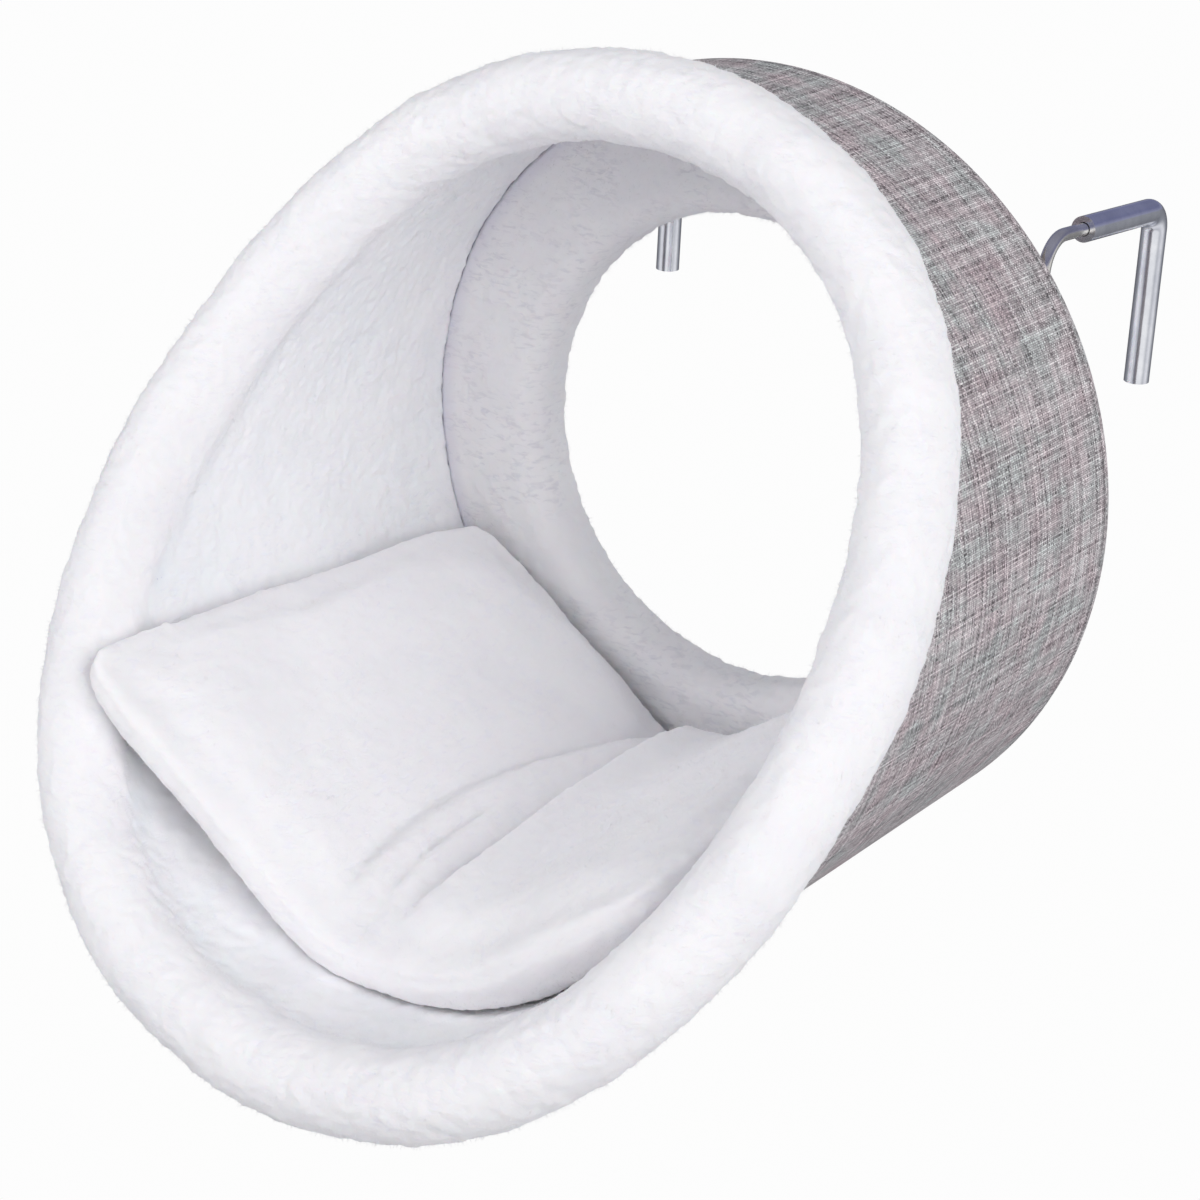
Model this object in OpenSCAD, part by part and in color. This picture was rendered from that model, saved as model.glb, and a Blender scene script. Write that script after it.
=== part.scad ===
// Cat bed that hangs on a radiator: a padded tube with a slanted mouth, a ring-shaped back with
// a round hole, a loose cushion and two hooks that slide on a bent rod.
// X runs across the bed, +Y points into the radiator and +Z up. The origin is midway between the
// hooks, level with the corners that they hang by, in the plane where the bed bears on the radiator.

/* [Bed tube] */
// Radius of the tube over its outer cover
bed_r = 185; // [170:1:240]
// Depth of the tube at the top, from its back to the middle of the rim roll
depth_top = 112; // [90:1:150]
// Depth of the tube at the sides
depth_side = 224; // [190:1:280]
// Depth of the tube at the bottom lip
depth_bottom = 343; // [300:1:420]
// How far the mouth bows from a plain slant
mouth_bow = 35; // [0:1:50]

/* [Wall] */
// Thickness of the woven outer cover
cover_t = 1; // [0.6:0.1:2]
// Thickness of the bent fibreboard tube
board_t = 3; // [2:0.5:5]
// Thickness of the wall's foam
foam_t = 7.7; // [4:0.1:12]
// Thickness of the plush, with its pile pressed flat
plush_t = 2.35; // [1.5:0.05:4]

/* [Rim roll] */
// Radius of the padded roll round the mouth
rim_r = 20; // [16:0.5:26]

/* [Back] */
// Clear radius of the round hole in the back
hole_r = 115; // [90:1:120]
// Thickness of the padded back
back_d = 30; // [26:0.5:40]
// Thickness of the back board
back_board_t = 18; // [12:0.5:20]
// Radius of the back's rounded outer edge
edge_r = 11; // [6:0.5:12]
// Width of the foam edging round the hole
hole_edging_w = 19; // [17:0.5:23]
// Radius of the hole's rounded front edge
hole_front_r = 14; // [8:0.5:14.5]
// Radius of the hole's rounded rear edge
hole_rear_r = 5; // [4:0.5:7]

/* [Hanger rod] */
// Diameter of the bent rod
rod_d = 6; // [5:0.5:8]
// Distance between the two hooks
hook_spacing = 270.6; // [250:0.2:290]
// Radius of the rod's bends at the top, to its middle
rod_bend_r = 15; // [12:0.5:18]
// Radius of the rod's wide bends below the hole
rod_sweep_r = 90; // [70:1:100]
// Length of rod inside each hook
rod_grip = 50; // [35:1:60]
// Slope of the rod's arms and of the hooks' arms, down towards the wall
hook_pitch = 4.1; // [0:0.1:8]

/* [Hooks] */
// Outer diameter of the hook's tube
hook_d = 12; // [10:0.5:16]
// Distance from the back of the bed to the hook's elbow
hook_reach = 114.4; // [100:0.1:140]
// Distance of the elbow below the tube's edge beside it
hook_drop = 6.7; // [4:0.1:12]
// Length of the hook's arm, to the elbow
hook_arm = 76.4; // [70:0.1:90]
// Length of the hook's leg, from the elbow
hook_leg = 84.5; // [60:0.5:110]
// Radius of the elbow's bend, to the tube's middle
hook_bend_r = 10; // [6.5:0.5:11]
// How far the elbow is opened beyond a right angle, which lets the leg hang plumb
hook_open = 4; // [0:1:8]
// Clearance all round the rod inside the hook
slide_gap = 0.3; // [0.1:0.05:0.5]

/* [Straps and screws] */
// Width of a strap along the rod
strap_w = 12; // [8:0.5:16]
// Thickness of a strap's sheet
strap_t = 1.2; // [0.8:0.1:1.6]
// Length of a strap's foot
strap_foot = 11; // [10:0.5:13]
// Diameter of a screw's shank
screw_d = 3; // [2.5:0.1:3.5]
// Length of a screw, from the top of a countersunk head or from under a pan head
screw_len = 16; // [12:0.5:17]
// Diameter of a screw's head
head_d = 6.9; // [6:0.1:7.5]
// Height of a screw's head
head_h = 2.1; // [1.6:0.1:2.4]
// Number of screws through the tube into the back board
edge_screws_n = 8; // [6:1:12]

/* [Cushion] */
// Width of the cushion, laid flat
cushion_w = 364; // [300:1:370]
// Length of the cushion from back to front
cushion_l = 271; // [200:1:275]
// Height of the cushion's crown, before the tube presses on it
cushion_h = 54; // [40:1:60]
// Thickness of the cushion at its seam
seam_t = 8; // [6:0.5:14]
// Slope of the cushion's two sides
cushion_slope = 37; // [30:0.5:40]
// Radius of the bend between the two sides
cushion_bend_r = 70; // [50:1:90]
// Height of the cushion's middle over the bottom of the tube
cushion_lift = 18; // [14:0.5:24]
// Depth of the deeper of its two main folds
fold_d = 12; // [0:0.5:14]

/* [Hidden] */

$fn = 96;
// Clearance between layers that lie on each other
lay_gap = 0.1;
// Clearance between the loose cushion and what it lies on
soft_gap = 0.4;
// Room round the tube's front edge inside the rim's slit
slot_gap = 0.8;
// Overrun of every cut
cut = 1;

// Radii of the wall's layers, from the cover inwards
board_r = bed_r - cover_t - lay_gap;
foam_r = board_r - board_t - lay_gap;
lining_r = foam_r - foam_t - lay_gap;
inside_r = lining_r - plush_t;

// The back board's inner edge and the back's layers, as depths from the rear face
edging_r = hole_r + hole_edging_w;
panel_rear = cover_t + lay_gap;
panel_front = panel_rear + back_board_t;
ring_plush_d = back_d - plush_t;

// Rounds a length to hundredths, so that two stretches of rod meet exactly
function hundredths(x) = round(x * 100) / 100;

// The rod lies on the rear face, under the straps
rod_r = rod_d / 2;
rod_y = rod_r + lay_gap;
hook_x = hook_spacing / 2;
hook_r = hook_d / 2;
bore_r = rod_r + slide_gap;
elbow_z = sqrt(bed_r * bed_r - hook_x * hook_x) - hook_drop;
bend_y = rod_y + rod_bend_r;
arm_y = bend_y + rod_bend_r * sin(hook_pitch);
arm_z = elbow_z + (hook_reach - arm_y) * tan(hook_pitch);
bend_z = hundredths(arm_z - rod_bend_r * cos(hook_pitch));
rod_arm = (hook_reach - arm_y) / cos(hook_pitch) - hook_arm + rod_grip;
foot_r = rod_r + lay_gap + strap_t + strap_foot;
rod_low = (edging_r + bed_r - edge_r - foot_r + rod_d) / 2;
bearing_y = rod_y + rod_r + lay_gap + strap_t;
hang_z = elbow_z - hook_r;

// Straps on one side: heights up the rod as shares of the bed's radius, then one below the hole
strap_shares = [0.43, 0.05, -0.27];
low_strap_share = 0.17;
strap_screw_at = foot_r - strap_foot / 2;

// Screws: the holes that they cut, and the flat top and cross slot of a pan head
screw_r = screw_d / 2;
head_r = head_d / 2;
pilot_r = screw_r + lay_gap / 2;
head_top_share = 2 / 3;
cross_slot_share = 1 / 6;

// How far the outer cover reaches under the rim roll, as a share of the roll's radius
cover_tuck_share = 0.4;
// Angle round the roll that the rim's plush stops short of the lining
rim_plush_stop = 3;
// Blunt end of the rod: its length and its end radius, as shares of the rod's radius
rod_end_shares = [1 / 3, 2 / 3];

// The cushion's outline: how far its sides draw in, and how far and how sharply its corners are
// cut off, as shares of its half width
pinch_share = 0.015;
corner_share = 0.045;
corner_power = 7;
// How square its edges are at the sides and at the ends
side_power = 16;
end_power = 12;
// Parts of its height beyond the seam: edge and crown above the middle, edge and crown below it
height_shares = [0.15, 0.15, 0.22, 0.48];
// Radius of the rim roll as a share of the length over which the underside rises towards it
roll_share = 0.55;
// Towards its front the cushion widens, sinks, and bends more widely on the right, as shares of its
// width, its lift and the bend's radius, and its sides get steeper, in degrees
front_width_share = 0.055;
front_sink_share = 0.2;
front_bend_share = 0.85;
front_slope = 2;
// How the cushion's columns crowd to the middle, where the folds are
even_column_share = 0.45;
// The two folds, as shares of the cushion's half width: their place across in the middle, how it
// moves towards the front, how it bends, and their width
fold_place_shares = [-0.22, -0.015];
fold_front_shares = [-0.085, 0.045];
fold_bend_shares = [0.07, 0.01];
fold_width_shares = [0.045, 0.05];
// Depth of the two folds as shares of the deeper one's, and how late they end at the front
fold_depth_shares = [1, 0.9];
fold_power = 6;
// Part of the cushion's back edge that its filling opening leaves on each side
opening_side_share = 1 / 3;

// Steps of the curved forms
mouth_steps = 36;
rim_rings = 72;
rim_arcs = 16;
cushion_columns = 24;
cushion_rows = 13;

// The mouth's edge as a depth from the rear face, at s, the height as a share of the radius
function mouth_depth(s) =
    depth_side - (depth_bottom - depth_top) / 2 * s
    + ((depth_bottom + depth_top) / 2 - depth_side) * s * s
    - mouth_bow * (s - s * s * s);

// Rise of the mouth's edge along the tube's surface, at angle a round the tube
function mouth_grade(a) =
    let (s = sin(a))
    ((depth_bottom - depth_top) / 2
        - 2 * ((depth_bottom + depth_top) / 2 - depth_side) * s
        + mouth_bow * (1 - 3 * s * s)) * cos(a) / bed_r;

// Length of a step square to the mouth's edge, along the tube's axis
function mouth_stretch(a) = sqrt(1 + mouth_grade(a) * mouth_grade(a));

// A point u outside the tube's surface and v behind the mouth's edge, measured along the surface
function rim_point(a, u, v) =
    let (n = mouth_stretch(a),
         b = a - mouth_grade(a) / n * v / bed_r * 180 / PI,
         y = v / n - mouth_depth(sin(a)))
    [(bed_r + u) * cos(b), y, (bed_r + u) * sin(b)];

// Points on an arc round the rim's middle, from angle a to angle b
function rim_arc(r, a, b) =
    [for (k = [0 : rim_arcs]) let (t = a + (b - a) * k / rim_arcs) [r * cos(t), r * sin(t)]];

// From the bed's own centre to the place where it hangs
module in_place() {
    translate([0, -bearing_y, -hang_z]) children();
}

// Lays a drawing in X and Y into the side view, with X along +Y and Y up
module side_view() {
    rotate([90, 0, 90]) children();
}

// Turns a profile of radius and depth round the tube's axis
module turned() {
    rotate([90, 0, 0]) rotate_extrude() children();
}

// One layer of the tube: outer radius r, thickness t, from depth rear to the slanted mouth, and
// short of the mouth's edge by inset
module wall_layer(r, t, rear, inset) {
    middle = r - t / 2;
    high = r + cut;
    edge = [for (k = [0 : mouth_steps])
        let (a = 180 * k / mouth_steps - 90)
        [inset * mouth_stretch(a) - mouth_depth(sin(a)), middle * sin(a)]];
    intersection() {
        rotate([90, 0, 0]) difference() {
            cylinder(h = depth_bottom + rim_r, r = r);
            translate([0, 0, -cut]) cylinder(h = depth_bottom + rim_r + 2 * cut, r = r - t);
        }
        side_view() linear_extrude(height = 2 * high, center = true)
            polygon(concat([[-rear, -high], [edge[0][0], -high]], edge,
                [[edge[mouth_steps][0], high], [-rear, high]]));
    }
}

// A closed ring of section points, swept round the mouth's edge
module rim_sweep(section) {
    m = len(section);
    points = [for (k = [0 : rim_rings - 1], p = section)
        rim_point(360 * k / rim_rings, p[0], p[1])];
    faces = [for (k = [0 : rim_rings - 1], j = [0 : m - 1])
        let (next = (k + 1) % rim_rings * m, i = (j + 1) % m, here = k * m)
        each [[here + j, next + i, here + i], [here + j, next + j, next + i]]];
    polyhedron(points = points, faces = faces);
}

// Profile of the back with its rounded outer edge: inner radius, outer radius, rear and front
module back_profile(inner, outer, rear, front, r) {
    intersection() {
        union() {
            translate([inner, rear]) square([outer - r - inner, front - rear]);
            translate([inner, rear + r]) square([outer - inner, front - rear]);
            translate([outer - r, rear + r]) circle(r = r);
        }
        translate([inner, rear]) square([outer - inner, front - rear]);
    }
}

// Bent fibreboard tube that carries everything; its front edge stands in the rim's core
module tube_board() {
    color("burlywood") in_place() difference() {
        wall_layer(board_r, board_t, edge_r + lay_gap, slot_gap);
        edge_screw_places() {
            translate([0, 0, -screw_len]) cylinder(h = screw_len + cut, r = pilot_r);
            translate([0, 0, -head_h])
                cylinder(h = head_h, r1 = pilot_r, r2 = head_r + lay_gap);
            translate([0, 0, -lay_gap]) cylinder(h = cut, r = head_r + lay_gap);
        }
    }
}

// Woven fabric glued round the tube and tucked under the rim roll
module outer_cover() {
    color("dimgray") in_place()
        wall_layer(bed_r, cover_t, edge_r, rim_r * cover_tuck_share);
}

// Foam glued inside the tube
module wall_foam() {
    color("khaki") in_place()
        wall_layer(foam_r, foam_t, panel_front + lay_gap, rim_r + soft_gap);
}

// Plush inside the tube, from the back's seam to the rim roll
module wall_lining() {
    inset = sqrt(pow(rim_r, 2) - pow(bed_r - lining_r, 2)) + soft_gap;
    color("white") in_place() wall_layer(lining_r, plush_t, back_d + lay_gap, inset);
}

// Foam roll, slit to sit on the tube's front edge
module rim_core() {
    r = rim_r - plush_t - soft_gap;
    out = slot_gap;
    in = cover_t + board_t + lay_gap + slot_gap;
    a = acos(-in / r);
    b = acos(out / r) + 360;
    slot = [[out, 0], [-in, 0]];
    color("khaki") in_place() rim_sweep(concat(rim_arc(r, a, b), slot));
}

// Plush sewn over the roll, from the outer cover round to the lining
module rim_plush() {
    a = acos(-(bed_r - lining_r) / rim_r) + rim_plush_stop;
    b = acos(slot_gap / rim_r) + 360;
    color("white") in_place()
        rim_sweep(concat(rim_arc(rim_r, a, b), rim_arc(rim_r - plush_t, b, a)));
}

// Screw places round the back board's edge, each with Z pointing outwards
module edge_screw_places() {
    depth = (edge_r + panel_front) / 2;
    for (k = [0 : edge_screws_n - 1])
        rotate([0, 180 / edge_screws_n * (2 * k + 1), 0])
            translate([0, -depth, board_r]) children();
}

// Ring-shaped board that closes the back and stands in the tube's end
module back_board() {
    color("tan") in_place() difference() {
        turned() difference() {
            back_profile(edging_r + lay_gap, board_r, panel_rear, panel_front,
                edge_r - cover_t - lay_gap);
            translate([foam_r, edge_r]) square([board_r, back_board_t]);
        }
        edge_screw_places() translate([0, 0, -screw_len - cut])
            cylinder(h = screw_len + 2 * cut, r = pilot_r);
        strap_places() strap_screw_hole();
    }
}

// Countersunk screws through the tube into the back board
module edge_screws() {
    color("silver") in_place() edge_screw_places() {
        translate([0, 0, -screw_len]) cylinder(h = screw_len - head_h, r = screw_r);
        translate([0, 0, -head_h]) cylinder(h = head_h - lay_gap, r1 = screw_r, r2 = head_r);
    }
}

// Foam on the front of the back board
module ring_foam() {
    color("khaki") in_place() turned()
        translate([edging_r + lay_gap, panel_front + lay_gap])
            square([lining_r - edging_r - 2 * lay_gap, ring_plush_d - panel_front - 2 * lay_gap]);
}

// Profile of the hole's edging, with both its edges rounded: inset lies inside the plush, and
// outer is the radius where it ends
module edging_profile(inset, outer) {
    rear_r = hole_rear_r - inset;
    front_r = hole_front_r - inset;
    inner = hole_r + inset;
    front = back_d - inset;
    intersection() {
        union() {
            translate([inner, inset + rear_r]) square([outer - inner, front - front_r - inset - rear_r]);
            translate([inner + rear_r, inset]) square([outer - inner - rear_r, rear_r + front_r]);
            translate([inner + front_r, inset]) square([outer - inner - front_r, front - inset]);
            translate([inner + rear_r, inset + rear_r]) circle(r = rear_r);
            translate([inner + front_r, front - front_r]) circle(r = front_r);
        }
        translate([inner, inset]) square([outer - inner, front - inset]);
    }
}

// Foam edging glued round the hole, with a wide round at the front and a small one at the rear
module hole_roll_core() {
    color("khaki") in_place() turned() edging_profile(plush_t + lay_gap, edging_r);
}

// Plush on the front of the back, drawn through the hole and glued behind its edging
module ring_lining() {
    color("white") in_place() turned() {
        difference() {
            edging_profile(0, edging_r);
            edging_profile(plush_t, edging_r + cut);
        }
        translate([hole_r + hole_front_r, ring_plush_d])
            square([lining_r - hole_r - hole_front_r - lay_gap, plush_t]);
    }
}

// Woven fabric over the rear face and its rounded edge
module back_cover() {
    color("dimgray") in_place() difference() {
        turned() difference() {
            back_profile(edging_r + lay_gap, bed_r, 0, edge_r, edge_r);
            back_profile(edging_r, bed_r - cover_t, cover_t, edge_r + cut, edge_r - cover_t);
        }
        strap_places() strap_screw_hole();
    }
}

// One side of the hanger rod, from the middle below the hole to the end inside the hook
module rod_half() {
    side = hook_x - rod_sweep_r;
    foot = rod_sweep_r - rod_low;
    blunt = rod_r * rod_end_shares[0];
    translate([0, rod_y, -rod_low]) rotate([0, 90, 0]) cylinder(h = side, r = rod_r);
    translate([side, rod_y, foot]) rotate([90, 0, 0]) rotate([0, 0, -90])
        rotate_extrude(angle = 90) translate([rod_sweep_r, 0]) circle(r = rod_r);
    translate([hook_x, rod_y, foot]) cylinder(h = bend_z - foot, r = rod_r);
    translate([hook_x, bend_y, bend_z]) side_view() {
        rotate([0, 0, 90 - hook_pitch]) rotate_extrude(angle = 90 + hook_pitch)
            translate([rod_bend_r, 0]) circle(r = rod_r);
        rotate([0, 0, -hook_pitch]) translate([0, rod_bend_r, 0]) rotate([0, 90, 0]) {
            cylinder(h = rod_arm - blunt, r = rod_r);
            translate([0, 0, rod_arm - blunt])
                cylinder(h = blunt, r1 = rod_r, r2 = rod_r * rod_end_shares[1]);
        }
    }
}

// Steel rod bent to a wide U under the hole, with an arm for each hook
module hanger_rod() {
    color("lightgray") in_place() {
        rod_half();
        mirror([1, 0, 0]) rod_half();
    }
}

// Strap places on both sides, each with Z along the rod and X towards the foot
module strap_places() {
    for (side = [0, 1]) mirror([side, 0, 0]) {
        for (share = strap_shares) translate([hook_x, 0, share * bed_r]) children();
        translate([low_strap_share * bed_r, 0, -rod_low]) rotate([0, 90, 0]) children();
    }
}

// Hole for a strap's screw, along Y
module strap_screw_hole() {
    translate([strap_screw_at, strap_t + cut, 0]) rotate([90, 0, 0])
        cylinder(h = screw_len + strap_t + 2 * cut, r = pilot_r);
}

// One sheet-metal strap bent over the rod, with a foot on one side
module strap() {
    inner = rod_r + lay_gap;
    outer = inner + strap_t;
    difference() {
        linear_extrude(height = strap_w, center = true) {
            difference() {
                union() {
                    translate([0, rod_y]) circle(r = outer);
                    translate([-outer, lay_gap]) square([2 * outer, rod_y - lay_gap]);
                }
                translate([0, rod_y]) circle(r = inner);
                translate([-inner, -outer]) square([2 * inner, outer + rod_y]);
            }
            translate([inner, lay_gap]) square([strap_t + strap_foot, strap_t]);
        }
        strap_screw_hole();
    }
}

// Straps that hold the rod to the back board
module rod_straps() {
    color("silver") in_place() strap_places() strap();
}

// Pan-headed screws through the straps and the fabric into the board
module strap_screws() {
    color("silver") in_place() strap_places()
        translate([strap_screw_at, strap_t + 2 * lay_gap, 0]) rotate([-90, 0, 0]) {
            translate([0, 0, lay_gap - screw_len]) cylinder(h = screw_len, r = screw_r);
            difference() {
                union() {
                    cylinder(h = head_h / 2, r = head_r);
                    translate([0, 0, head_h / 2])
                        cylinder(h = head_h / 2, r1 = head_r, r2 = head_r * head_top_share);
                }
                for (turn = [0, 90]) rotate([0, 0, turn])
                    translate([-screw_r, -screw_r * cross_slot_share, head_h / 2])
                        cube([screw_d, screw_d * cross_slot_share, head_h]);
            }
        }
}

// Solid bar along a hook, of radius r, with its ends run out by extra
module hook_bar(r, extra) {
    translate([-hook_arm - extra, 0, 0]) rotate([0, 90, 0])
        cylinder(h = hook_arm + extra - hook_bend_r, r = r);
    translate([-hook_bend_r, -hook_bend_r, 0]) rotate([0, 0, hook_open]) {
        rotate_extrude(angle = 90 - hook_open) translate([hook_bend_r, 0]) circle(r = r);
        translate([hook_bend_r, 0, 0]) rotate([90, 0, 0])
            cylinder(h = hook_leg + extra - hook_bend_r, r = r);
    }
}

// Bent steel tube that slides on the rod's arm and hangs behind the radiator
module hook_tube(x) {
    color("lightsteelblue") in_place() translate([x, hook_reach, elbow_z])
        side_view() rotate([0, 0, -hook_pitch]) difference() {
            hook_bar(hook_r, 0);
            hook_bar(bore_r, cut);
        }
}

module left_hook_tube() {
    hook_tube(-hook_x);
}

module right_hook_tube() {
    hook_tube(hook_x);
}

// Radius to which the cushion's underside may reach: the lining, or near the mouth the rim roll,
// which it clears early enough to slide over
function floor_r(a, d) =
    let (v = (mouth_depth(sin(a)) - d) / mouth_stretch(a) * roll_share,
         roll = v > 0 ? sqrt(max(0, rim_r * rim_r - v * v)) : rim_r)
    min(inside_r, bed_r - roll) - soft_gap;

// How far a place p across and q along is from fold k, as a share of the fold's width
function fold_off(k, p, q) =
    (p - fold_place_shares[k] - fold_front_shares[k] * q - fold_bend_shares[k] * q * q)
        / fold_width_shares[k];

// Height lost to the two folds that run from back to front where the cushion is bent most
function fold_at(p, q) =
    let (one = fold_off(0, p, q), two = fold_off(1, p, q))
    fold_d * (1 - pow(max(q, 0), fold_power))
        * (fold_depth_shares[0] * exp(-one * one) + fold_depth_shares[1] * exp(-two * two));

// Height of the cushion over its middle, or depth under it, at p across and q along
function cushion_half(p, q, side) =
    let (edge = sqrt((1 - pow(p, side_power)) * (1 - pow(q, end_power))),
         crown = (1 - p * p) * (1 - q * q),
         k = side == 1 ? 0 : 2)
    seam_t / 2 + (cushion_h - seam_t) * (height_shares[k] * edge + height_shares[k + 1] * crown)
        - (side == 1 ? fold_at(p, q) * edge : 0);

// A cushion point at p across and q along, each -1 to 1: side 0 is the underside and 1 the top,
// and skin is how far it lies inside the cover; the two flat sides meet in a bend in the trough
// of the tube, and nothing reaches into the lining or the rim roll
function cushion_point(p, q, side, skin) =
    let (half_w = cushion_w / 2 * (1 + front_width_share * q) - skin,
         half_l = cushion_l / 2 - skin,
         corner = corner_share * pow(abs(p * q), corner_power),
         slope = cushion_slope + front_slope * q,
         bend_r = cushion_bend_r * (p > 0 ? 1 + front_bend_share * (1 + q) / 2 : 1),
         s = half_w * p * (1 - pinch_share * (1 - q * q) - corner),
         turn = max(-slope, min(slope, s / bend_r * 180 / PI)),
         rest = s - bend_r * turn * PI / 180,
         low = inside_r - cushion_lift * (1 - front_sink_share * q),
         x = bend_r * sin(turn) + rest * cos(slope),
         z = bend_r * (1 - cos(turn)) + abs(rest) * sin(slope) - low,
         middle = back_d + 2 * soft_gap + cushion_l / 2,
         d = middle + half_l * q * (1 - pinch_share * (1 - p * p)) - half_w * corner * q,
         hold = min(1, (floor_r(atan2(z, x), d) - seam_t / 2) / norm([x, z])),
         k = (side == 1 ? 1 : -1) * (cushion_half(p, q, side) - skin),
         u = x * hold - k * sin(turn),
         v = z * hold + k * cos(turn),
         a = atan2(v, u),
         r = min(norm([u, v]), floor_r(a, d) - skin))
    [r * cos(a), -d, r * sin(a)];

// Points of a whole cushion, row by row, first the underside and then the top; the columns lie
// closer together in the middle, where the folds are
function cushion_points(skin) =
    [for (side = [0, 1], j = [0 : cushion_rows], i = [0 : cushion_columns])
        let (t = 2 * i / cushion_columns - 1,
             p = t * (even_column_share + (1 - even_column_share) * t * t))
        cushion_point(p, 2 * j / cushion_rows - 1, side, skin)];

// Faces of a grid of points that starts at number first; flip turns them over
function grid_faces(first, flip) =
    let (w = cushion_columns + 1)
    [for (j = [0 : cushion_rows - 1], i = [0 : cushion_columns - 1])
        let (a = first + j * w + i, b = a + 1, c = a + w + 1, d = a + w)
        each flip ? [[a, b, c], [a, c, d]] : [[a, c, b], [a, d, c]]];

// Numbers of the points round the edge of the underside
function edge_loop() =
    let (w = cushion_columns + 1, h = cushion_rows)
    concat([for (i = [0 : cushion_columns - 1]) i],
        [for (j = [0 : h - 1]) j * w + cushion_columns],
        [for (i = [cushion_columns : -1 : 1]) h * w + i],
        [for (j = [h : -1 : 1]) j * w]);

// Faces of the cushion's four edges; the edge's steps in open are left out
function edge_faces(first, flip, open) =
    let (n = (cushion_columns + 1) * (cushion_rows + 1), loop = edge_loop(), m = len(loop))
    [for (k = [0 : m - 1]) if (k < open[0] || k >= open[1])
        let (a = first + loop[k], b = first + loop[(k + 1) % m])
        each flip ? [[a, b + n, b], [a, a + n, b + n]] : [[a, b, b + n], [a, b + n, a + n]]];

// Faces of a closed cushion whose points start at number first
function cushion_faces(first, flip, open = [0, 0]) =
    concat(grid_faces(first, flip),
        grid_faces(first + (cushion_columns + 1) * (cushion_rows + 1), !flip),
        edge_faces(first, flip, open));

// Plush cover of the loose cushion, with its hollow for the filling and, in the middle of its
// back edge, the opening that it is filled through
module cushion_cover() {
    points = cushion_points(0);
    hollow = cushion_points(plush_t);
    n = len(points);
    half = n / 2;
    open = [round(cushion_columns * opening_side_share),
        round(cushion_columns * (1 - opening_side_share))];
    lips = [for (i = [open[0] : open[1] - 1]) each [
        [i, i + 1 + n, i + n], [i, i + 1, i + 1 + n],
        [i + half, i + half + n, i + 1 + half + n], [i + half, i + 1 + half + n, i + 1 + half]]];
    ends = [for (e = [0, 1]) let (i = open[e], a = i + half, b = i + half + n, c = i + n)
        each e == 0 ? [[i, b, a], [i, c, b]] : [[i, a, b], [i, b, c]]];
    color("whitesmoke") in_place() polyhedron(
        points = concat(points, hollow),
        faces = concat(cushion_faces(0, false, open), cushion_faces(n, true, open), lips, ends));
}

// Fibre filling of the cushion
module cushion_filling() {
    color("ivory") in_place() polyhedron(
        points = cushion_points(plush_t + lay_gap), faces = cushion_faces(0, false));
}

tube_board();
outer_cover();
wall_foam();
wall_lining();
rim_core();
rim_plush();
back_board();
edge_screws();
ring_foam();
hole_roll_core();
ring_lining();
back_cover();
hanger_rod();
rod_straps();
strap_screws();
left_hook_tube();
right_hook_tube();
cushion_cover();
cushion_filling();
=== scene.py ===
"""Looks of a cat bed that hangs on a radiator: woven cover, plush roll and linings, loose cushion,
bent rod and sliding hooks. Lengths are in metres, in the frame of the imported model."""

import math

import bpy
import numpy as np
from mathutils import Matrix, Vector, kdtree


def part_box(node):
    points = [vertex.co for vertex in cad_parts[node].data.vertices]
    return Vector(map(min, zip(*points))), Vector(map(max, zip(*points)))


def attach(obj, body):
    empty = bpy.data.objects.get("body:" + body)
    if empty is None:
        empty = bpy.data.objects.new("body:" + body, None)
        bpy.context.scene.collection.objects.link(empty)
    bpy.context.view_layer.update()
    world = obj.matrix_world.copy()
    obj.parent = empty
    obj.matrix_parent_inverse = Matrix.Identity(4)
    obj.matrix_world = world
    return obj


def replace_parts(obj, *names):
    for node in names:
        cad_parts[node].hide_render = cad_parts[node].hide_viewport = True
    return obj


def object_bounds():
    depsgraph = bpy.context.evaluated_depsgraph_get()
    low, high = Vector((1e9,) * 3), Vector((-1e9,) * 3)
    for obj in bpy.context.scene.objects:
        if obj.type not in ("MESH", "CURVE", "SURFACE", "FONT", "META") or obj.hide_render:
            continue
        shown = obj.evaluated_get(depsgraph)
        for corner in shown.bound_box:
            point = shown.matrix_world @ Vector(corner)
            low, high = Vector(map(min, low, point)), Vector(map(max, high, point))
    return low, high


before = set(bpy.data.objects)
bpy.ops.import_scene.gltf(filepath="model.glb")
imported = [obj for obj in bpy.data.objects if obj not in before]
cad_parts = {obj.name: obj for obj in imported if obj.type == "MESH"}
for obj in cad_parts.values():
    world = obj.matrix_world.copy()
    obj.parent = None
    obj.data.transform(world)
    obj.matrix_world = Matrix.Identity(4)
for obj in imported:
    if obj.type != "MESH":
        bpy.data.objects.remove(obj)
cad_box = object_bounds()

# The camera stands to the right of the bed and a little above it, at the photograph's angle, and
# leans slightly to one side, as the photograph does.
view_turn = 0.598886
view_fall = 0.387038
view_lean = 0.04966
camera_place = (0.7234, -1.1992, 0.3703)

camera = bpy.data.objects.new("camera", bpy.data.cameras.new("camera"))
camera.data.sensor_width = 36
camera.data.lens = 92.78
camera.matrix_world = (
    Matrix.Translation(camera_place)
    @ Matrix.Rotation(view_turn, 4, "Z")
    @ Matrix.Rotation(math.pi / 2 - view_fall, 4, "X")
    @ Matrix.Rotation(view_lean, 4, "Z")
)
bpy.context.scene.collection.objects.link(camera)
bpy.context.scene.camera = camera


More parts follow.
